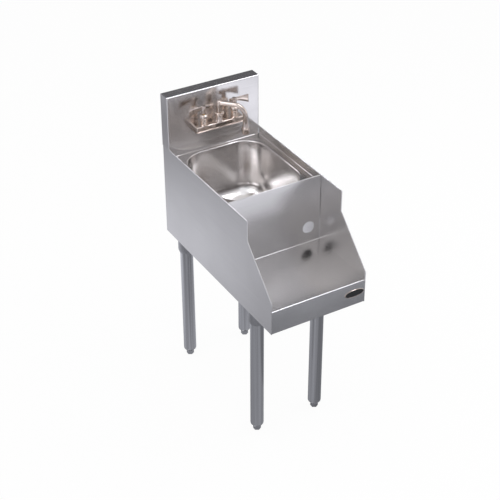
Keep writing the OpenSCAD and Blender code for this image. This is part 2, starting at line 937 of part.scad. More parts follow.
// Lift-out strainer plate with a ring of holes and a lifting knob
module drain_strainer() {
    holes = 12;
    z = drain_top;
    color(chrome) translate([0, bowl_y, z + strainer_gap / 2]) {
        difference() {
            cylinder(r = strainer_seat_r, h = strainer_t);
            for (i = [0 : holes - 1]) {
                rotate([0, 0, i * 360 / holes]) translate([strainer_ring_r, 0, -over]) {
                    cylinder(r = strainer_hole_r, h = strainer_t + 2 * over);
                }
            }
        }
        translate([0, 0, -strainer_skirt_h]) {
            ring(drain_throat_d / 2 - slip, drain_throat_d / 2 - slip - strainer_t, strainer_skirt_h);
        }
        translate([0, 0, strainer_t]) cylinder(r = strainer_knob_r / 2, h = strainer_knob_h - strainer_knob_r);
        translate([0, 0, strainer_t + strainer_knob_h - strainer_knob_r]) {
            cylinder(r = strainer_knob_r, h = strainer_knob_r / 2);
        }
    }
}

// Gasket and lock nut under the bowl
module drain_gasket() {
    color(rubber) translate([0, bowl_y, under_z - gasket_t]) ring(gasket_r, drain_body_r + run_gap, gasket_t);
}

module drain_locknut() {
    lugs = 6;
    color(brass) translate([0, bowl_y, under_z - gasket_t - locknut_t]) difference() {
        union() {
            cylinder(r = locknut_r - locknut_lug, h = locknut_t);
            for (i = [0 : lugs - 1]) {
                rotate([0, 0, i * 360 / lugs]) translate([0, -locknut_lug_w / 2, 0]) {
                    cube([locknut_r, locknut_lug_w, locknut_t]);
                }
            }
        }
        translate([0, 0, -over]) cylinder(r = drain_body_r + run_gap, h = locknut_t + 2 * over);
    }
}

// Tailpiece with its top flange, hanging from the drain by a nut
module tailpiece() {
    length = tail_nut_t + tail_l;
    swage_l = 2 * tail_flange_t + 2 * tail_nut_lip;
    color(chrome) translate([0, bowl_y, 0]) difference() {
        union() {
            translate([0, 0, tail_top]) cylinder(r = drain_body_r - run_gap, h = tail_flange_t);
            translate([0, 0, tail_top - length]) cylinder(d = tail_d, h = length);
            translate([0, 0, tail_top - swage_l]) cylinder(r = tail_swage_r, h = swage_l);
        }
        translate([0, 0, tail_top - length - over]) {
            cylinder(r = tail_d / 2 - tail_wall, h = length + tail_flange_t + 2 * over);
        }
    }
}

// Washer under the tailpiece's flange
module tailpiece_washer() {
    color(rubber) translate([0, bowl_y, tail_top - tail_flange_t]) {
        ring(drain_body_r - run_gap, tail_swage_r + run_gap, tail_flange_t);
    }
}

// Nut that clamps the tailpiece to the drain body
module tailpiece_nut() {
    floor_z = tail_top - tail_flange_t - tail_nut_lip;
    color(brass) translate([0, bowl_y, floor_z]) difference() {
        hex_nut(tail_nut_af, tail_nut_t);
        translate([0, 0, tail_nut_lip]) cylinder(r = drain_body_r + run_gap, h = tail_nut_t);
        translate([0, 0, -over]) cylinder(r = tail_swage_r + tail_nut_gap, h = tail_nut_t);
    }
}

left_side_panel();
right_side_panel();
partition_panel();
blender_shelf();
sink_deck();
sink_bowl();
backsplash();
rear_tie_rail();
front_leg_channel();
rear_leg_channel();
front_left_socket();
front_right_socket();
rear_left_socket();
rear_right_socket();
front_left_leg();
front_right_leg();
rear_left_leg();
rear_right_leg();
socket_screws();
foot_inserts();
front_left_foot();
front_right_foot();
rear_left_foot();
rear_right_foot();
faucet_body();
supply_shanks();
shank_washers();
shank_nuts();
left_valve_bonnet();
right_valve_bonnet();
left_valve_stem();
right_valve_stem();
left_handle();
right_handle();
left_handle_screw();
right_handle_screw();
spout_nut();
spout();
spout_seals();
aerator();
drain_flange();
drain_strainer();
drain_gasket();
drain_locknut();
tailpiece();
tailpiece_washer();
tailpiece_nut();
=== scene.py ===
import math

import bmesh
import bpy
from mathutils import Matrix, Vector


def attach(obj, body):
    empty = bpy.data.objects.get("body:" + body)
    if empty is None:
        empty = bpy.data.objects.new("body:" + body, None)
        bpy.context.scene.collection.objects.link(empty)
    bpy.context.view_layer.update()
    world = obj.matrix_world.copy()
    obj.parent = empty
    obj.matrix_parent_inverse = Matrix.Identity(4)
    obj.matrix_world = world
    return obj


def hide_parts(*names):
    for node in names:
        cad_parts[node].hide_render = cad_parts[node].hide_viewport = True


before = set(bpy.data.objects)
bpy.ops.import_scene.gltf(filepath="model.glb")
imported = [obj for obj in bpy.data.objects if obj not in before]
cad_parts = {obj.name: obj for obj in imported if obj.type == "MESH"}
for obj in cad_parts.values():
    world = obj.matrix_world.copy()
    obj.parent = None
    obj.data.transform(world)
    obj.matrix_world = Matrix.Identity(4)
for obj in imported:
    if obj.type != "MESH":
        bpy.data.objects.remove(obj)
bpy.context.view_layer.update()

MM = 0.001
NEAR = 0.01 * MM

# Planes, centres and sizes of the station, as in its CAD source
HALF_W = 152.5 * MM
FRONT_Y = -308 * MM
PART_Y = -75 * MM
SPLASH_Y = 269.5 * MM
BACK_Y = 308 * MM
SPLASH_TOP = 938 * MM
SIDE_TOP = 772 * MM
DECK_Z = 745.5 * MM
SHELF_BACK = 559 * MM
APRON_TOP = 552 * MM
CHANNEL_Z = 480 * MM
BODY_Z = 477 * MM
BOWL_Y = 102 * MM
BOWL_W = 254 * MM
BOWL_L = 305 * MM
BOWL_R = 70 * MM
BOWL_RIM = 3 * MM
BOWL_FLOOR = 567.5 * MM
CORD_HOLE = (112.5 * MM, 608.5 * MM)
CORD_HOLE_R = 19.05 * MM
LEG_X = 102.5 * MM
LEG_YS = {"front": -148 * MM, "rear": 278 * MM}
FAUCET_Z = 841 * MM
VALVE_X = 50.8 * MM
VALVE_Y = 238.5 * MM
SHANK_Z = 829 * MM
POST_TOP = FAUCET_Z + 24 * MM
SPOUT_Z = 899.5 * MM
SPOUT_REACH = 80 * MM
SPOUT_TURN = math.radians(43 - 90)
LEVER_Z = 902.5 * MM
PLATE_X = 116.5 * MM
PLATE_Z = 517.8 * MM

# Sheet metal
SHEET = 1.5 * MM
SIDE_IN = HALF_W - SHEET
HEM = 8 * MM
FOLDED_IN = SIDE_IN - 2.5 * MM
LARGE_FACE = 400 * MM * MM
UPRIGHT = Matrix.Rotation(math.pi / 2, 4, "X")


# Finishes, a few with painted light and shade in their tints

class ShaderGraph:
    """The shader nodes of a finish or of the world, emptied and then built up."""

    def __init__(self, owner):
        owner.use_nodes = True
        self.nodes = owner.node_tree.nodes
        self.links = owner.node_tree.links
        self.nodes.clear()

    def add(self, kind, inputs=None, operation=None):
        """A new node. Each input is given a value, or another node's output to follow."""
        node = self.nodes.new(f"ShaderNode{kind}")
        if operation:
            node.operation = operation
        for name, value in (inputs or {}).items():
            if isinstance(value, bpy.types.NodeSocket):
                self.links.new(value, node.inputs[name])
            else:
                node.inputs[name].default_value = value
        return node

    def ramp(self, value, low, high, at_low=0.0, at_high=1.0, eased=True):
        """Takes a value from one span to another and keeps level outside it."""
        node = self.add("MapRange", {
            "Value": value, "From Min": low, "From Max": high, "To Min": at_low, "To Max": at_high,
        })
        if eased:
            node.interpolation_type = "SMOOTHSTEP"
        return node.outputs["Result"]

    def joined(self, how, first, *others):
        """The product, sum or highest of several values."""
        for other in others:
            first = self.add("Math", {0: first, 1: other}, operation=how).outputs["Value"]
        return first

    def along(self, vector, direction):
        """How far a vector goes in a direction."""
        return self.add("VectorMath", {0: vector, 1: direction}, operation="DOT_PRODUCT").outputs["Value"]

    def noise(self, place, scale, detail, roughness=0.5):
        return self.add("TexNoise", {
            "Vector": place, "Scale": scale, "Detail": detail, "Roughness": roughness,
        }).outputs["Fac"]

    def scaled(self, tint, level):
        return self.add("VectorMath", {0: tint, "Scale": level}, operation="SCALE").outputs["Vector"]

    def bump(self, height, strength, distance):
        return self.add("Bump", {
            "Height": height, "Strength": strength, "Distance": distance,
        }).outputs["Normal"]

    def either(self, share, first, second):
        """One shader going over into another."""
        return self.add("MixShader", {0: share, 1: first, 2: second}).outputs["Shader"]

    def principled(self, inputs):
        shader = self.add("BsdfPrincipled", inputs)
        self.add("OutputMaterial", {"Surface": shader.outputs["BSDF"]})


def new_finish(name):
    finish = bpy.data.materials.new(name)
    return finish, ShaderGraph(finish)


def brushed_steel(name, tint, lines, rough=0.22, streak=0.035, grain=0.05, painted_shading=None):
    """Stainless sheet: fine brush lines along one axis, small changes of tone and gloss.
    lines is the pattern's scale on each axis, low along the brush lines. An optional shade is painted light
    and shade: it takes the tint over into another along a direction and is given as (direction, low, high,
    tint at high)."""
    finish, graph = new_finish(name)
    place = graph.add("TexCoord").outputs["Object"]
    stretched = graph.add("Mapping", {"Vector": place, "Scale": lines}).outputs["Vector"]
    brush = graph.noise(stretched, 1.0, 4.0, 0.65)
    cloud = graph.noise(place, 9.0, 3.0)
    # Painted light and shade: the tint goes over into another along a direction
    if painted_shading:
        direction, low, high, high_tint = painted_shading
        blend = graph.add("Mix")
        blend.data_type = "RGBA"
        blend.inputs[6].default_value = (*tint, 1.0)
        blend.inputs[7].default_value = (*high_tint, 1.0)
        graph.links.new(graph.ramp(graph.along(place, direction), low, high), blend.inputs[0])
        tint = blend.outputs[2]
    tone = graph.ramp(brush, 0.3, 0.7, 1.0 - streak, 1.0 + streak, eased=False)
    inputs = {
        "Metallic": 1.0,
        "Base Color": graph.scaled(tint, tone),
        "Roughness": graph.ramp(cloud, 0.35, 0.65, rough - 0.02, rough + 0.03, eased=False),
    }
    if grain:
        inputs["Normal"] = graph.bump(brush, grain, 0.05 * MM)
    graph.principled(inputs)
    return finish


def polished(name, tint, rough, wear):
    """Plated or polished metal with faint wipe marks in its gloss."""
    finish, graph = new_finish(name)
    marks = graph.noise(graph.add("TexCoord").outputs["Object"], 60.0, 5.0)
    graph.principled({
        "Metallic": 1.0,
        "Base Color": graph.scaled(tint, graph.ramp(marks, 0.3, 0.7, 0.96, 1.02, eased=False)),
        "Roughness": graph.ramp(marks, 0.4, 0.7, rough, rough + wear, eased=False),
    })
    return finish


def moulded(name, tint, rough=0.6, grain=420.0):
    """Rubber or enamel with a fine grain."""
    finish, graph = new_finish(name)
    specks = graph.noise(graph.add("TexCoord").outputs["Object"], grain, 3.0)
    graph.principled({
        "Base Color": graph.scaled(tint, graph.ramp(specks, 0.0, 1.0, 0.8, 1.2, eased=False)),
        "Roughness": rough,
        "Normal": graph.bump(specks, 0.2, 0.1 * MM),
    })
    return finish


ALONG_X = (6.0, 900.0, 900.0)
ALONG_Y = (900.0, 6.0, 900.0)
STEEL = (0.77, 0.755, 0.745)

side_finish = brushed_steel("side_panel_steel", STEEL, ALONG_Y)
partition_finish = brushed_steel("partition_steel", STEEL, ALONG_X)
# Painted light and shade: the shelf is pale at its front left and darker towards its back right
shelf_painted_shading = brushed_steel(
    "shelf_steel_painted_shading", (0.97, 0.95, 0.94), ALONG_X, streak=0.02, grain=0.02,
    painted_shading=((0.61, 0.79, 0.0), -0.33, -0.04, (0.66, 0.645, 0.635)),
)
# Painted shade: the apron takes a darker copy of the shelf's steel
apron_painted_shading = brushed_steel("apron_steel_painted_shading", (0.72, 0.715, 0.71), ALONG_X)
# Painted shade: deck and splash are darker copies of the side panels' steel
deck_painted_shading = brushed_steel("deck_steel_painted_shading", (0.70, 0.675, 0.66), ALONG_X)
splash_painted_shading = brushed_steel("backsplash_steel_painted_shading", (0.74, 0.72, 0.71), ALONG_X)
# Painted light and shade: the bowl's floor and cove are paler, its walls darker
bowl_painted_shading = brushed_steel(
    "bowl_steel", (0.88, 0.865, 0.855), (120.0, 120.0, 8.0), rough=0.23, streak=0.012, grain=0.0,
    painted_shading=((0.0, 0.0, 1.0), 0.566, 0.62, (0.765, 0.74, 0.725)),
)
leg_finish = brushed_steel("leg_steel", (0.66, 0.66, 0.67), (130.0, 130.0, 0.6), rough=0.2, streak=0.22)
frame_finish = brushed_steel("frame_steel", (0.5, 0.5, 0.51), ALONG_X, rough=0.35)
foot_finish = brushed_steel("foot_steel", (0.5, 0.5, 0.51), (300.0, 300.0, 300.0), rough=0.3)
chrome = polished("faucet_chrome", (0.66, 0.57, 0.51), rough=0.035, wear=0.03)
brass = polished("turned_brass", (0.72, 0.55, 0.28), rough=0.25, wear=0.1)
rubber = moulded("seal_rubber", (0.02, 0.02, 0.02))
enamel = moulded("plate_enamel", (0.015, 0.015, 0.016), rough=0.25, grain=200.0)


# Shaping

def settle(name, bm, body, finish, stands_for=(), smooth=40, flat_over=None):
    """Closes a bmesh into a piece that rides on its body. Faces larger than flat_over stay flat."""
    bmesh.ops.remove_doubles(bm, verts=bm.verts, dist=1e-7)
    bmesh.ops.recalc_face_normals(bm, faces=bm.faces)
    round_faces = []
    for face in bm.faces:
        along_axis = max(abs(c) for c in face.normal) > 0.99999
        round_faces.append(flat_over is None or not (along_axis or face.calc_area() > flat_over))
    mesh = bpy.data.meshes.new(name)
    bm.to_mesh(mesh)
    bm.free()
    mesh.set_sharp_from_angle(angle=math.radians(smooth))
    mesh.polygons.foreach_set("use_smooth", round_faces)
    mesh.materials.append(finish)
    piece = bpy.data.objects.new(name, mesh)
    bpy.context.scene.collection.objects.link(piece)
    if stands_for:
        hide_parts(*stands_for)
    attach(piece, body)
    return piece


def mm(points, base=0.0):
    """Pairs given in millimetres, the second of each counted up from a base."""
    return [(a * MM, base + b * MM) for a, b in points]


def bevel(bm, edges, width, segments):
    bmesh.ops.bevel(
        bm, geom=edges, offset=width, offset_type="OFFSET", segments=segments, profile=0.5,
        affect="EDGES", clamp_overlap=True, material=-1,
    )


def sharp_edges(edges, over):
    """The edges between two faces that turn by more than an angle in degrees."""
    return [e for e in edges if len(e.link_faces) == 2 and e.calc_face_angle(0.0) > math.radians(over)]


def ease_edges(bm, width, segments=2, over=30):
    """Rounds every sharp edge."""
    bevel(bm, sharp_edges(bm.edges, over), width, segments)


def ease_where(bm, width, test, segments=3):
    """Rounds the sharp edges whose two ends both pass a test."""
    bevel(bm, sharp_edges([e for e in bm.edges if all(test(v.co) for v in e.verts)], 30), width, segments)


def thicken(bm, faces, vec):
    """Draws faces out along a vector and gives the vertices at the far end."""
    grown = bmesh.ops.extrude_face_region(bm, geom=faces)
    far = [g for g in grown["geom"] if isinstance(g, bmesh.types.BMVert)]
    bmesh.ops.translate(bm, verts=far, vec=vec)
    return far


def plate(bm, loops, place):
    """A flat sheet with holes: outlines in its own plane, thickened backwards, then placed."""
    fresh = []
    edges = []
    for loop in loops:
        verts = [bm.verts.new((u, v, 0)) for u, v in loop]
        edges += [bm.edges.new((verts[i - 1], verts[i])) for i in range(len(verts))]
        fresh += verts
    filled = bmesh.ops.triangle_fill(
        bm, edges=edges, use_beauty=True, use_dissolve=False, normal=(0, 0, 1),
    )
    faces = [g for g in filled["geom"] if isinstance(g, bmesh.types.BMFace)]
    back = thicken(bm, faces, (0, 0, -SHEET))
    bmesh.ops.transform(bm, matrix=place, verts=fresh + back)


def across(bm, outline, x0, x1):
    """A section given as (y, z) points, drawn out from x0 to x1."""
    face = bm.faces.new([bm.verts.new((x0, y, z)) for y, z in outline])
    thicken(bm, [face], (x1 - x0, 0, 0))


def box(bm, centre, size):
    bmesh.ops.create_cube(bm, size=1.0, matrix=Matrix.Translation(centre) @ Matrix.Diagonal((*size, 1)))


def bend(y, z, r, start, end, steps=8):
    """Points along a fold, angles in degrees."""
    turns = [math.radians(start + (end - start) * i / steps) for i in range(steps + 1)]
    return [(y + r * math.cos(a), z + r * math.sin(a)) for a in turns]


def rounded_outline(w, l, r, steps, between=0):
    """Points of a rectangle with round corners about the bowl's centre, with a number of points more
    along each straight side."""
    corners = [
        bend(sx * (w / 2 - r), BOWL_Y + sy * (l / 2 - r), r, turn, turn + 90, steps)
        for turn, sx, sy in ((0, 1, 1), (90, -1, 1), (180, -1, -1), (270, 1, -1))
    ]
    points = []
    for corner, following in zip(corners, corners[1:] + corners[:1]):
        points += corner
        start, end = Vector(corner[-1]), Vector(following[0])
        points += [tuple(start.lerp(end, i / (between + 1))) for i in range(1, between + 1)]
    return points


def turned(bm, outline, x, y, steps=48):
    """Spins an outline of (radius, height) pairs about an upright axis."""
    verts = [bm.verts.new((x + r, y, z)) for r, z in outline]
    edges = [bm.edges.new(pair) for pair in zip(verts, verts[1:])]
    bmesh.ops.spin(
        bm, geom=verts + edges, cent=(x, y, 0), axis=(0, 0, 1), angle=math.tau, steps=steps,
        use_merge=True, use_duplicate=False,
    )
    bmesh.ops.remove_doubles(bm, verts=bm.verts, dist=1e-6)


def lay_over(bm, verts, pivot, angle, axis):
    """Turns vertices about a point."""
    bmesh.ops.rotate(bm, verts=verts, cent=pivot, matrix=Matrix.Rotation(angle, 3, axis))


def thread(low, high, crest, root, pitch):
    """Outline of a thread's ridges between two heights."""
    points = []
    turns = max(1, int((high - low) / pitch))
    step = (high - low) / turns
    for i in range(turns):
        z = low + i * step
        points += [(root, z), (crest, z + step * 0.35), (crest, z + step * 0.65)]
    points.append((root, high))
    return points


# Sheets

def side_sheet(side, sign):
    """A side panel, and the hem folded in along its front and top."""
    rear = BACK_Y - 3 * MM
    shoulder_y = FRONT_Y + 128 * MM
    shoulder_z = SIDE_TOP - 64 * MM
    lip_z = APRON_TOP + 27 * MM
    hem_low = APRON_TOP + 3 * MM
    hem_x = SIDE_IN - SHEET
    fold_r = 1.35 * MM
    slope = math.atan2(shoulder_z - lip_z, shoulder_y - FRONT_Y)
    drop = HEM * math.tan((math.pi / 2 - slope) / 2)
    stepped = [(FRONT_Y, lip_z), (shoulder_y, shoulder_z), (shoulder_y, SIDE_TOP)]
    bm = bmesh.new()
    across(bm, [
        (FRONT_Y, BODY_Z), *stepped, (rear, SIDE_TOP), (rear, BODY_Z),
    ], sign * SIDE_IN, sign * HALF_W)
    ease_where(bm, fold_r, lambda co: abs(co.x) > HALF_W - NEAR and co.z > BODY_Z + MM, 4)
    ease_where(bm, 0.5 * MM, lambda co: abs(co.x) > HALF_W - NEAR)
    inner = bmesh.new()
    folded = [(FRONT_Y, hem_low), *stepped, (SPLASH_Y, SIDE_TOP)]
    across(inner, [
        *folded, (SPLASH_Y, SIDE_TOP - HEM), (shoulder_y + HEM, SIDE_TOP - HEM),
        (shoulder_y + HEM, shoulder_z - drop), (FRONT_Y + HEM, lip_z - drop), (FRONT_Y + HEM, hem_low),
    ], sign * SIDE_IN, sign * hem_x)
    ease_where(inner, fold_r, lambda co: abs(co.x) < hem_x + NEAR
               and any(abs(co.y - y) < NEAR and abs(co.z - z) < NEAR for y, z in folded), 4)
    hem = bpy.data.meshes.new("hem")
    inner.to_mesh(hem)
    inner.free()
    bm.from_mesh(hem)
    bpy.data.meshes.remove(hem)
    settle(f"{side}_side_sheet", bm, "station", side_finish,
           stands_for=(f"{side}_side_panel",), flat_over=LARGE_FACE)


side_sheet("left", -1)
side_sheet("right", 1)


def partition_sheet():
    """The wall between shelf and deck, with the cord hole, a rolled hem on top, a tongue down behind the
    shelf and a fine fillet along it."""
    back_y = PART_Y + SHEET
    low = SHELF_BACK
    fold_z = SIDE_TOP - SHEET
    notch = SIDE_TOP - 9 * MM
    tongue = low - 20 * MM
    fillet = 1.0 * MM
    edge = SIDE_IN - 1.0 * MM
    hole_points = 64
    hole = bend(*CORD_HOLE, CORD_HOLE_R, 0, 360 - 360 / hole_points, hole_points - 1)
    bm = bmesh.new()
    plate(bm, [[
        (-edge, low), (edge, low), (edge, notch), (FOLDED_IN, notch), (FOLDED_IN, fold_z),
        (-FOLDED_IN, fold_z), (-FOLDED_IN, notch), (-edge, notch),
    ], hole], Matrix.Translation((0, PART_Y, 0)) @ UPRIGHT)
    ease_where(bm, 0.35 * MM, lambda co: math.dist((co.x, co.z), CORD_HOLE) < CORD_HOLE_R + MM)
    across(bm, [
        *bend(back_y, fold_z, SHEET, 180, 0, 12),
        (back_y + SHEET, SIDE_TOP - HEM), (back_y, SIDE_TOP - HEM),
    ], -FOLDED_IN, FOLDED_IN)
    ease_where(bm, 0.4 * MM, lambda co: abs(co.x) > FOLDED_IN - NEAR and co.z > notch + 0.1 * MM, 2)
    across(bm, [(PART_Y, low), (back_y, low), (back_y, tongue), (PART_Y, tongue)], -SIDE_IN, SIDE_IN)
    across(bm, [
        (PART_Y, low + fillet), *bend(PART_Y - fillet, low + fillet, fillet, 0, -90, 6)[1:], (PART_Y, low),
    ], -edge, edge)
    settle("partition_sheet", bm, "station", partition_finish,
           stands_for=("partition_panel",), flat_over=LARGE_FACE)


partition_sheet()


def shelf_and_apron():
    """Sloping shelf, apron and the return below it, folded from one sheet."""
    tilt = math.atan2(SHELF_BACK - APRON_TOP, PART_Y - FRONT_Y)
    level = 90 + math.degrees(tilt)
    low_r = 3 * MM
    top_r = 1.6 * MM
    fold_z = APRON_TOP + top_r * math.tan(tilt) - top_r / math.cos(tilt)
    return_y = FRONT_Y + 18 * MM
    bm = bmesh.new()
    across(bm, [
        (return_y, BODY_Z),
        *bend(FRONT_Y + low_r, BODY_Z + low_r, low_r, 270, 180),
        *bend(FRONT_Y + top_r, fold_z, top_r, 180, level),
        (PART_Y, SHELF_BACK),
        (PART_Y, SHELF_BACK - SHEET / math.cos(tilt)),
        *bend(FRONT_Y + top_r, fold_z, top_r - SHEET, level, 180),
        *bend(FRONT_Y + low_r, BODY_Z + low_r, low_r - SHEET, 180, 270),
        (return_y, BODY_Z + SHEET),
    ], -SIDE_IN, SIDE_IN)
    piece = settle("shelf_and_apron", bm, "station", shelf_painted_shading,
                   stands_for=("blender_shelf",), flat_over=LARGE_FACE)
    # Painted shade: the apron's front faces take the darker copy of the steel
    piece.data.materials.append(apron_painted_shading)
    for face in piece.data.polygons:
        if face.center.z < APRON_TOP - 2.5 * MM and face.normal.y < -0.9:
            face.material_index = 1


shelf_and_apron()


def deck_sheet():
    """Sunken deck with the bowl's opening, an upstand behind, lips in front and at the sides, and a
    fillet along each side panel."""
    front = PART_Y + SHEET
    under = DECK_Z - SHEET
    front_lip = DECK_Z - 13.5 * MM
    side_lip = DECK_Z - 14 * MM
    rear = SPLASH_Y - 3 * MM
    crease = 1.4 * MM
    fillet = 2.2 * MM
    opening_w = BOWL_W + 2 * BOWL_RIM
    opening_l = BOWL_L + 2 * BOWL_RIM
    opening = rounded_outline(opening_w, opening_l, BOWL_R + BOWL_RIM, 24)
    bm = bmesh.new()
    plate(bm, [[
        (-SIDE_IN, front), (SIDE_IN, front), (SIDE_IN, rear), (-SIDE_IN, rear),
    ], opening], Matrix.Translation((0, 0, DECK_Z)))
    across(bm, [
        (rear, DECK_Z), *bend(SPLASH_Y - SHEET - crease, DECK_Z + crease, crease, 270, 360),
        (SPLASH_Y - SHEET, SIDE_TOP), (SPLASH_Y, SIDE_TOP), (SPLASH_Y, under), (rear, under),
    ], -FOLDED_IN, FOLDED_IN)
    across(bm, [
        (front, under), (front + SHEET, under), (front + SHEET, front_lip), (front, front_lip),
    ], -SIDE_IN, SIDE_IN)
    for sign in (-1, 1):
        across(bm, [
            (front + SHEET, under), (SPLASH_Y, under), (SPLASH_Y, side_lip), (front + SHEET, side_lip),
        ], sign * SIDE_IN, sign * (SIDE_IN - SHEET))
        section = bend(sign * (SIDE_IN - fillet), DECK_Z + fillet, fillet, 270, 270 + sign * 90, 6)
        verts = [bm.verts.new((x, front, z)) for x, z in section + [(sign * SIDE_IN, DECK_Z)]]
        thicken(bm, [bm.faces.new(verts)], (0, SPLASH_Y - SHEET - front, 0))
    settle("deck_sheet", bm, "station", deck_painted_shading, stands_for=("sink_deck",),
           flat_over=LARGE_FACE)


deck_sheet()


def backsplash_sheet():
    """Hollow splash folded from one sheet, open below and behind, with a tongue down behind the deck."""
    high = SPLASH_TOP - SIDE_TOP
    deep = BACK_Y - SPLASH_Y
    tongue = DECK_Z - 20 * MM
    bm = bmesh.new()
    box(bm, (0, SPLASH_Y + deep / 2, SIDE_TOP + high / 2), (2 * HALF_W, deep, high))
    rear = [f for f in bm.faces if f.normal.y > 0.9]
    bmesh.ops.inset_region(bm, faces=rear, thickness=12 * MM, depth=0, use_even_offset=True)
    under = [f for f in bm.faces if f.normal.z < -0.9]
    bmesh.ops.delete(bm, geom=rear + under, context="FACES")
    front_folds = [
        e for e in bm.edges
        if len(e.link_faces) == 2 and all(abs(v.co.y - SPLASH_Y) < NEAR for v in e.verts)
    ]
    bevel(bm, front_folds, 3 * MM, 7)
    top_folds = [e for e in sharp_edges(bm.edges, 60) if all(v.co.z > SPLASH_TOP - NEAR for v in e.verts)]
    bevel(bm, top_folds, 0.8 * MM, 3)
    bmesh.ops.recalc_face_normals(bm, faces=bm.faces)
    bmesh.ops.solidify(bm, geom=bm.faces[:], thickness=SHEET)
    across(bm, [
        (SPLASH_Y, SIDE_TOP), (SPLASH_Y + SHEET, SIDE_TOP), (SPLASH_Y + SHEET, tongue), (SPLASH_Y, tongue),
    ], -FOLDED_IN, FOLDED_IN)
    settle("backsplash_sheet", bm, "station", splash_painted_shading, stands_for=("backsplash",),
           flat_over=LARGE_FACE)


backsplash_sheet()


def hidden_frame():
    """The tie rail at the back, and the two channels that carry the leg sockets."""
    flat_over = 300 * MM * MM
    rail_y = BACK_Y - 3 * MM
    ledge_y = rail_y - 14 * MM
    rail_top = 585 * MM
    rail_low = 545 * MM
    bm = bmesh.new()
    across(bm, [
        (ledge_y, rail_top), (rail_y, rail_top), (rail_y, rail_low), (rail_y - SHEET, rail_low),
        (rail_y - SHEET, rail_top - SHEET), (ledge_y, rail_top - SHEET),
    ], -SIDE_IN, SIDE_IN)
    ease_edges(bm, 0.4 * MM)
    settle("rear_rail_angle", bm, "station", frame_finish, stands_for=("rear_tie_rail",),
           flat_over=flat_over)
    outer = 26 * MM
    inner = outer - SHEET
    lip = CHANNEL_Z + 25 * MM
    floor = CHANNEL_Z + SHEET
    for end, y in LEG_YS.items():
        bm = bmesh.new()
        across(bm, [
            (y - outer, lip), (y - outer, CHANNEL_Z), (y + outer, CHANNEL_Z), (y + outer, lip),
            (y + inner, lip), (y + inner, floor), (y - inner, floor), (y - inner, lip),
        ], -SIDE_IN, SIDE_IN)
        ease_edges(bm, 0.4 * MM)
        settle(f"{end}_channel", bm, "station", frame_finish,
               stands_for=(f"{end}_leg_channel",), flat_over=flat_over)


hidden_frame()


# Bowl

def drawn_bowl():
    """Rim roll, wall, cove, floor and stepped drain seat, one ring of points below another."""
    corner_steps = 20
    side_points = 15
    levels = []

    def ring(outset, z):
        w, l, r = BOWL_W + 2 * outset, BOWL_L + 2 * outset, BOWL_R + outset
        outline = rounded_outline(w, l, r, corner_steps, side_points)
        levels.append([Vector((x, y, z)) for x, y in outline])

    cove = 42 * MM
    cove_z = BOWL_FLOOR + cove
    wall_top = DECK_Z - BOWL_RIM
    wall_steps = 4
    for out, z in bend(BOWL_RIM, wall_top, BOWL_RIM, 90, 180, 6):
        ring(out, z)
    for i in range(1, wall_steps + 1):
        ring(0, wall_top + (cove_z - wall_top) * i / wall_steps)
    for out, z in bend(-cove, cove_z, cove, 0, -90, 14)[1:]:
        ring(out, z)
    centre = Vector((0, BOWL_Y, 0))
    floor = [v - centre for v in levels[-1]]
    seat = [(74, 0.0), (52, 0.0), (47, -0.25), (45.2, -0.9), (44.4, -1.8), (44, -3.0), (24, -3.0)]
    for radius, z in mm(seat, BOWL_FLOOR):
        levels.append([
            centre + Vector((v.x, v.y, 0)).normalized() * radius + Vector((0, 0, z)) for v in floor
        ])
    bm = bmesh.new()
    verts = [bm.verts.new(co) for co in levels[0]]
    edges = [bm.edges.new((verts[i - 1], verts[i])) for i in range(len(verts))]
    for level in levels[1:]:
        grown = bmesh.ops.extrude_edge_only(bm, edges=edges)
        fresh = {g for g in grown["geom"] if isinstance(g, bmesh.types.BMVert)}
        lower = []
        for v, co in zip(verts, level):
            below = next(e.other_vert(v) for e in v.link_edges if e.other_vert(v) in fresh)
            below.co = co
            lower.append(below)
        verts = lower
        edges = [bm.edges.get((verts[i - 1], verts[i])) for i in range(len(verts))]
    bmesh.ops.recalc_face_normals(bm, faces=bm.faces)
    if sum(f.normal.z * f.calc_area() for f in bm.faces) < 0:
        bmesh.ops.reverse_faces(bm, faces=bm.faces)
    bmesh.ops.solidify(bm, geom=bm.faces[:], thickness=1.2 * MM)
    settle("drawn_bowl", bm, "station", bowl_painted_shading, stands_for=("sink_bowl",), smooth=60)


drawn_bowl()


# Legs and feet

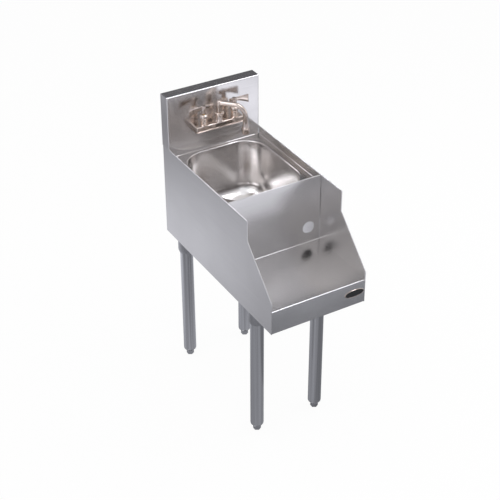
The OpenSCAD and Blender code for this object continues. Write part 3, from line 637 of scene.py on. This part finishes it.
def leg(name, x, y):
    """A leg's socket with its screw boss, its tube, and the foot that screws out of it. The heights in
    the outlines are above the floor."""
    inward = 1 if x < 0 else -1
    boss_x = x + inward * 27 * MM
    boss_z = 438 * MM
    bm = bmesh.new()
    turned(bm, mm([
        (25.0, 480), (25.0, 409), (21.3, 399), (20.3, 399), (20.3, 480), (25.0, 480),
    ]), x, y, steps=64)
    ease_edges(bm, 0.6 * MM)
    bmesh.ops.create_cone(
        bm, cap_ends=True, segments=32, radius1=7.5 * MM, radius2=7.0 * MM, depth=6 * MM,
        matrix=Matrix.Translation((boss_x, y, boss_z)) @ Matrix.Rotation(inward * math.pi / 2, 4, "Y"),
    )
    settle(f"{name}_socket_sleeve", bm, "station", frame_finish,
           stands_for=(f"{name}_socket",))

    bm = bmesh.new()
    turned(bm, mm([
        (20, 480), (20, 26), (19.6, 24.6), (19.0, 24.0), (18.5, 24.4), (18.5, 480), (20, 480),
    ]), x, y, steps=64)
    settle(f"{name}_leg_tube", bm, "station", leg_finish, stands_for=(f"{name}_leg",))

    hexagon_r = 12.12 * MM
    hexagon_h = 14 * MM
    bm = bmesh.new()
    bmesh.ops.create_circle(
        bm, cap_ends=True, segments=6, radius=hexagon_r, matrix=Matrix.Translation((x, y, 0.0)),
    )
    thicken(bm, bm.faces[:], (0, 0, hexagon_h))
    bmesh.ops.recalc_face_normals(bm, faces=bm.faces)
    ease_edges(bm, 0.9 * MM, segments=3)
    turned(bm, [
        *mm([(0, 13.5), (10.0, 13.5), (11.0, 14.6), (19.3, 22.6), (19.6, 23.3), (19.2, 23.7)]),
        *thread(23.7 * MM, 73 * MM, 6.0 * MM, 5.3 * MM, 1.75 * MM),
        (0, 73.5 * MM),
    ], x, y, steps=40)
    settle(f"{name}_foot_bullet", bm, f"{name}_foot", foot_finish,
           stands_for=(f"{name}_foot",))


for end, y in LEG_YS.items():
    for side, x in (("left", -LEG_X), ("right", LEG_X)):
        leg(f"{end}_{side}", x, y)


# Faucet

def faucet_casting():
    """The body with its round front, the two valve seats and the hollow post."""
    w, d, h = 156 * MM, 40.5 * MM, 24 * MM
    front = SPLASH_Y - d
    under = FAUCET_Z - h
    bm = bmesh.new()
    box(bm, (0, SPLASH_Y - d / 2, FAUCET_Z - h / 2), (w, d, h))
    low_front = [
        e for e in bm.edges
        if all(abs(v.co.y - front) < NEAR and v.co.z < under + NEAR for v in e.verts)
    ]
    bevel(bm, low_front, 13 * MM, 10)
    free_edges = [
        e for e in sharp_edges(bm.edges, 40)
        if not all(abs(v.co.y - SPLASH_Y) < NEAR for v in e.verts)
    ]
    bevel(bm, free_edges, 3.2 * MM, 4)
    for x in (-VALVE_X, VALVE_X):
        turned(bm, mm([(0, -1), (12.7, -1), (12.7, 2.2), (12.0, 3), (0, 3)], FAUCET_Z), x, VALVE_Y)
    turned(bm, mm([
        (0, -1), (12.6, -1), (12.4, 1.5), (11.0, 3.2), (10.0, 5), (10.0, 24), (6.05, 24), (6.05, 0),
    ], FAUCET_Z), 0, VALVE_Y)
    settle("faucet_casting", bm, "station", chrome, stands_for=("faucet_body",), smooth=35,
           flat_over=900 * MM * MM)


faucet_casting()


def valve(side, x, outward):
    """A valve's bonnet, and the wing lever on it."""
    bm = bmesh.new()
    turned(bm, mm([
        (4.05, 0), (10.5, 0), (10.5, 17.5), (11.2, 19.5), (12.7, 21.5), (12.7, 27.5), (12.0, 29.5),
        (9.0, 31.6), (8.5, 32), (4.05, 32), (4.05, 0),
    ], FAUCET_Z + 3 * MM), x, VALVE_Y, steps=64)
    ease_edges(bm, 0.35 * MM, over=25)
    settle(f"{side}_bonnet_cap", bm, "station", chrome,
           stands_for=(f"{side}_valve_bonnet",))

    blade = mm([
        (-16.5, 0.0), (47.5, 0.0), (47.5, -26.0), (38.0, -21.8), (27.0, -17.2), (16.0, -13.0), (7.0, -11.0),
        (-7.0, -11.0), (-12.0, -11.6), (-16.5, -12.6),
    ], LEVER_Z)
    blade_w = 3 * MM
    bm = bmesh.new()
    face = bm.faces.new([bm.verts.new((x + outward * u, VALVE_Y - blade_w / 2, z)) for u, z in blade])
    thicken(bm, [face], (0, blade_w, 0))
    bmesh.ops.recalc_face_normals(bm, faces=bm.faces)
    ease_edges(bm, 0.5 * MM, segments=3)
    turned(bm, mm([
        (4.05, -24), (6.4, -24), (7.0, -23), (7.0, -2), (6.4, -0.3), (5.6, 0), (4.05, 0), (4.05, -24),
    ], LEVER_Z), x, VALVE_Y)
    settle(f"{side}_wing_lever", bm, f"{side}_lever", chrome,
           stands_for=(f"{side}_handle",))


valve("left", -VALVE_X, -1)
valve("right", VALVE_X, 1)


def collar_nut():
    bm = bmesh.new()
    turned(bm, mm([
        (10.05, 0), (13.0, 0), (14.0, 2.0), (14.6, 5.5), (14.3, 7.2), (13.0, 8.4), (9.6, 9), (8.25, 9),
        (8.25, 4.8), (10.05, 4.8), (10.05, 0),
    ], FAUCET_Z + 21 * MM), 0, VALVE_Y)
    settle("spout_collar_nut", bm, "station", chrome, stands_for=("spout_nut",))


collar_nut()


def swing_spout():
    """The stem in the post, and a tube drawn out level, bent down and flared."""
    tube_r = 7 * MM
    bend_r = 34 * MM
    straight = SPOUT_REACH - bend_r
    bm = bmesh.new()
    turned(bm, [
        *mm([(0, -25), (6.0, -25), (6.0, 0.1), (9.4, 0.1), (9.4, 1.5), (8.2, 1.6), (8.2, 22), (8.6, 24.5)],
            POST_TOP),
        *mm([(8.6, -2), (8.5, 1.5), (7.6, 4.8), (5.4, 7.0), (2.6, 8.0), (0, 8.2)], SPOUT_Z),
    ], 0, VALVE_Y, steps=40)
    start = bmesh.ops.create_circle(
        bm, cap_ends=False, segments=32, radius=tube_r,
        matrix=Matrix.Translation((0, VALVE_Y, SPOUT_Z)) @ Matrix.Rotation(math.pi / 2, 4, "Y"),
    )
    edges = list({e for v in start["verts"] for e in v.link_edges})

    def draw(edges, vec):
        grown = bmesh.ops.extrude_edge_only(bm, edges=edges)
        verts = [g for g in grown["geom"] if isinstance(g, bmesh.types.BMVert)]
        bmesh.ops.translate(bm, verts=verts, vec=vec)
        return [g for g in grown["geom"] if isinstance(g, bmesh.types.BMEdge)
                and all(v in verts for v in g.verts)], verts

    edges, verts = draw(edges, (straight, 0, 0))
    spun = bmesh.ops.spin(
        bm, geom=verts + edges, cent=(straight, VALVE_Y, SPOUT_Z - bend_r), axis=(0, 1, 0),
        angle=math.pi / 2, steps=16, use_duplicate=False,
    )
    lower_end = [g for g in spun["geom_last"] if isinstance(g, bmesh.types.BMEdge)]
    edges, verts = draw(lower_end, (0, 0, -12 * MM))
    for drop, grow in ((-6, 1.05), (-6, 1.10), (-6, 1.12), (-5, 1.10), (-0.8, 1.06)):
        edges, verts = draw(edges, (0, 0, drop * MM))
        centre = Vector((SPOUT_REACH, VALVE_Y, verts[0].co.z))
        bmesh.ops.scale(bm, vec=(grow, grow, 1), verts=verts, space=Matrix.Translation(-centre))
    bmesh.ops.recalc_face_normals(bm, faces=bm.faces)
    lay_over(bm, bm.verts, (0, VALVE_Y, 0), SPOUT_TURN, "Z")
    settle("swing_spout", bm, "spout", chrome, stands_for=("spout",))


swing_spout()


def aerator():
    """A sleeve with a knurled grip and an outlet plate."""
    base = SPOUT_Z - 88 * MM
    steps = 48
    bm = bmesh.new()
    turned(bm, mm([
        (9.1, 6), (9.1, 0), (10.2, 0), (10.6, 0.5), (10.6, 4.6), (12.3, 5.2), (12.6, 6), (12.6, 16.8),
        (12.1, 17.8), (10.8, 18.2), (10.6, 19), (0, 19),
    ], base), SPOUT_REACH, VALVE_Y, steps=steps)
    for v in bm.verts:
        away = Vector((v.co.x - SPOUT_REACH, v.co.y - VALVE_Y, 0))
        gripped = base + 5.5 * MM < v.co.z < base + 17 * MM and away.length > 12.5 * MM
        if gripped and round(math.atan2(away.y, away.x) / math.tau * steps) % 2:
            v.co -= away.normalized() * 0.35 * MM
    turned(bm, mm([(0, 2.5), (9.1, 2.5), (9.1, 3.2), (0, 3.2)], base), SPOUT_REACH, VALVE_Y, steps=32)
    lay_over(bm, bm.verts, (0, VALVE_Y, 0), SPOUT_TURN, "Z")
    settle("aerator_shell", bm, "spout", chrome, stands_for=("aerator",), smooth=30)


aerator()


def supply_shanks():
    """The two threaded shanks behind the splash."""
    bore = 6.5 * MM
    end = 33.5 * MM
    ridges = thread(0, 33 * MM, 10.45 * MM, 9.7 * MM, 1.8 * MM)
    bm = bmesh.new()
    for x in (-VALVE_X, VALVE_X):
        before = set(bm.verts)
        turned(bm, [(bore, 0), *ridges, (9.6 * MM, end), (bore, end), (bore, 0)], 0, 0, steps=40)
        fresh = [v for v in bm.verts if v not in before]
        lay_over(bm, fresh, (0, 0, 0), -math.pi / 2, "X")
        bmesh.ops.translate(bm, verts=fresh, vec=(x, SPLASH_Y, SHANK_Z))
    settle("threaded_shanks", bm, "station", brass, stands_for=("supply_shanks",))


supply_shanks()


def oval_plate():
    """Bare dark oval on the apron with a bright rim, turned round and then pressed flat."""
    rim_r = 30.4 * MM
    bm = bmesh.new()
    turned(bm, mm([
        (0, 0.9), (24, 0.9), (30.1, 0.8), (30.4, 1.3), (31.4, 1.5), (32.3, 1.1), (32.5, 0), (0, 0),
    ]), 0, 0, steps=72)
    for v in bm.verts:
        v.co.y *= 0.352 if v.co.xy.length < 30.2 * MM else 0.374
    lay_over(bm, bm.verts, (0, 0, 0), math.pi / 2, "X")
    bmesh.ops.translate(bm, verts=bm.verts, vec=(PLATE_X, FRONT_Y, PLATE_Z))
    piece = settle("oval_plate", bm, "station", enamel)
    piece.data.materials.append(chrome)
    for face in piece.data.polygons:
        if math.hypot(face.center.x - PLATE_X, (face.center.z - PLATE_Z) / 0.36) > rim_r:
            face.material_index = 1


oval_plate()


# Drain, and the fittings that keep their CAD shape

for node, finish in {
    "drain_flange": chrome, "drain_strainer": chrome, "drain_gasket": rubber, "drain_locknut": brass,
    "tailpiece": chrome, "tailpiece_washer": rubber, "tailpiece_nut": brass,
    "shank_washers": rubber, "shank_nuts": brass, "socket_screws": foot_finish, "foot_inserts": foot_finish,
    "left_valve_stem": brass, "right_valve_stem": brass, "spout_seals": rubber,
    "left_handle_screw": chrome, "right_handle_screw": chrome,
}.items():
    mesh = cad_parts[node].data
    mesh.materials.clear()
    mesh.materials.append(finish)


# Floor, light and camera

WHITE = (1, 1, 1, 1)
PAPER_GREY = (0.95, 0.95, 0.95, 1)
FLOOR_TINT = (0.95, 0.965, 1.05, 1)
ROOM_TINT = (0.96, 0.97, 1.05, 1)


def studio_floor():
    """White paper, which polished metal sees in zones of other tones."""
    bm = bmesh.new()
    bmesh.ops.create_grid(bm, x_segments=1, y_segments=1, size=14.0)
    mesh = bpy.data.meshes.new("studio_floor")
    bm.to_mesh(mesh)
    bm.free()
    floor = bpy.data.objects.new("studio_floor", mesh)
    bpy.context.scene.collection.objects.link(floor)
    finish, graph = new_finish("floor_paper")
    path = graph.add("LightPath").outputs
    place = graph.add("TexCoord").outputs["Object"]
    axes = graph.add("SeparateXYZ", {"Vector": place}).outputs

    def band(axis, low, high, at_low, at_high):
        return graph.ramp(axes[axis], low, high, at_low, at_high)

    # Behind the station: paler with distance, then duller again, and duller at the left
    behind = graph.joined(
        "MULTIPLY", band("Y", -0.1, 0.95, 0.30, 0.72), band("X", -0.9, -0.5, 0.55, 1.0),
        band("Y", 1.0, 1.9, 1.0, 0.62),
    )
    # In front: bright far off and dull near by, with a paler patch by the feet and a glow at the right
    ahead = graph.joined("MULTIPLY", band("Y", -1.26, -0.96, 1.2, 0.22), band("X", -0.5, 0.15, 0.42, 1.0))
    by_feet = graph.joined("MULTIPLY", band("Y", -0.9, -0.7, 0.0, 1.0), band("X", 0.05, 0.2, 0.34, 0.0))
    glow = graph.joined("MULTIPLY", band("X", 0.66, 0.90, 0.0, 1.6), band("Y", -0.95, -0.8, 1.0, 0.25))
    ahead = graph.joined("MAXIMUM", ahead, by_feet, glow)
    # Beyond the glow it is dimmer, and far to the left it is pale
    ahead = graph.joined("MULTIPLY", ahead, band("X", 0.92, 1.2, 1.0, 0.5))
    ahead = graph.joined("MAXIMUM", ahead, band("X", -1.1, -0.75, 0.9, 0.0))
    near = graph.joined(
        "ADD", graph.joined("MULTIPLY", behind, band("Y", -0.2, 0.1, 0.0, 1.0)),
        graph.joined("MULTIPLY", ahead, band("Y", -0.2, 0.1, 1.0, 0.0)),
    )
    # Some two metres off it goes over to one level
    distance = graph.add("VectorMath", {0: place}, operation="LENGTH").outputs["Value"]
    level = graph.add("Mix", {0: graph.ramp(distance, 1.9, 2.8), 2: near, 3: 0.6}).outputs[0]
    seen = graph.add("Emission", {"Color": FLOOR_TINT, "Strength": level}).outputs["Emission"]

    # The camera sees nearly white paper that still takes a faint shadow
    paper = graph.add("BsdfDiffuse", {"Color": PAPER_GREY}).outputs["BSDF"]
    white = graph.add("Emission", {"Color": WHITE}).outputs["Emission"]
    to_camera = graph.either(path["Is Camera Ray"], paper, graph.either(0.94, paper, white))
    mirrored = graph.joined("MAXIMUM", path["Is Glossy Ray"], path["Is Transmission Ray"])
    graph.add("OutputMaterial", {"Surface": graph.either(mirrored, to_camera, seen)})
    mesh.materials.append(finish)


studio_floor()


def studio_world():
    """White to the camera, even light on dull surfaces, and a room of its own for polished metal."""
    world = bpy.data.worlds.new("studio")
    bpy.context.scene.world = world
    graph = ShaderGraph(world)
    path = graph.add("LightPath").outputs
    toward = graph.add("TexCoord").outputs["Generated"]
    axes = graph.add("SeparateXYZ", {"Vector": toward}).outputs

    def background(colour, strength):
        return graph.add("Background", {"Color": colour, "Strength": strength}).outputs["Background"]

    def fade(axis, low, high, at_low, at_high):
        return graph.ramp(axes[axis], low, high, at_low, at_high)

    def strip(*fades):
        return graph.joined("MULTIPLY", *fades)

    def round_panel(direction, edge, core, strength):
        return graph.ramp(graph.along(toward, direction), edge, core, 0.0, strength)

    # Grey walls, darker behind, a pale horizon and ceiling, and four bright soft panels
    walls = fade("Y", -0.5, 0.5, 0.38, 0.115)
    horizon = fade("Z", 0.08, 0.34, 0.7, 0.0)
    ceiling = strip(fade("Z", 0.74, 0.88, 0.0, 1.0), fade("X", 0.1, 0.35, 0.4, 1.0))
    above_front = strip(
        fade("Y", -0.5, -0.38, 0.0, 4.2), fade("Y", 0.15, 0.25, 1.0, 0.0),
        fade("X", 0.26, 0.34, 0.0, 1.0), fade("X", 0.5, 0.58, 1.0, 0.0), fade("Z", 0.66, 0.74, 0.0, 1.0),
    )
    beside = round_panel((-0.86, -0.49, 0.12), 0.90, 0.97, 1.6)
    over_left = round_panel((-0.565, -0.2, 0.8), 0.97, 0.988, 3.0)
    behind = strip(
        fade("Y", 0.60, 0.68, 0.0, 4.5), fade("Y", 0.76, 0.84, 1.0, 0.0),
        fade("X", -0.3, -0.18, 0.0, 1.0), fade("X", 0.08, 0.24, 1.0, 0.0), fade("Z", 0.3, 0.45, 0.0, 1.0),
    )
    level = graph.joined("MAXIMUM", walls, horizon, ceiling, above_front, beside, over_left, behind)
    on_object = graph.either(path["Is Glossy Ray"], background(WHITE, 0.7), background(ROOM_TINT, level))
    all_rays = graph.either(path["Is Camera Ray"], on_object, background(WHITE, 1.0))
    graph.add("OutputWorld", {"Surface": all_rays})


studio_world()


def softbox(name, place, target, width, height, watts):
    lamp = bpy.data.lights.new(name, "AREA")
    lamp.shape = "RECTANGLE"
    lamp.size = width
    lamp.size_y = height
    lamp.energy = watts
    holder = bpy.data.objects.new(name, lamp)
    holder.location = place
    holder.rotation_euler = (Vector(target) - Vector(place)).to_track_quat("-Z", "Y").to_euler()
    bpy.context.scene.collection.objects.link(holder)


softbox("overhead_softbox", (-0.5, -0.3, 2.7), (0, 0.1, 0.7), 4.0, 3.0, 22)
softbox("right_softbox", (1.9, -0.6, 1.9), (0, 0.1, 0.8), 2.0, 2.4, 14)


def photo_camera():
    """The camera that was solved from the photo's straight edges, angles in radians."""
    place = (-1.5539, -2.5886, 2.5350)
    turn = -0.5297880
    tilt = 0.5872198
    roll = -0.0040744
    view = bpy.data.cameras.new("photo_camera")
    view.sensor_width = 36.0
    view.sensor_fit = "HORIZONTAL"
    view.lens = 89.714
    view.clip_end = 60.0
    backward = Vector((
        math.sin(turn) * math.cos(tilt), -math.cos(turn) * math.cos(tilt), math.sin(tilt),
    ))
    level = Vector((math.cos(turn), math.sin(turn), 0))
    above = backward.cross(level)
    aim = Matrix((
        level * math.cos(roll) + above * math.sin(roll),
        -level * math.sin(roll) + above * math.cos(roll),
        backward,
    )).transposed().to_4x4()
    aim.translation = place
    camera = bpy.data.objects.new("photo_camera", view)
    camera.matrix_world = aim
    bpy.context.scene.collection.objects.link(camera)
    bpy.context.scene.camera = camera


photo_camera()

bpy.context.scene.view_settings.view_transform = "Standard"
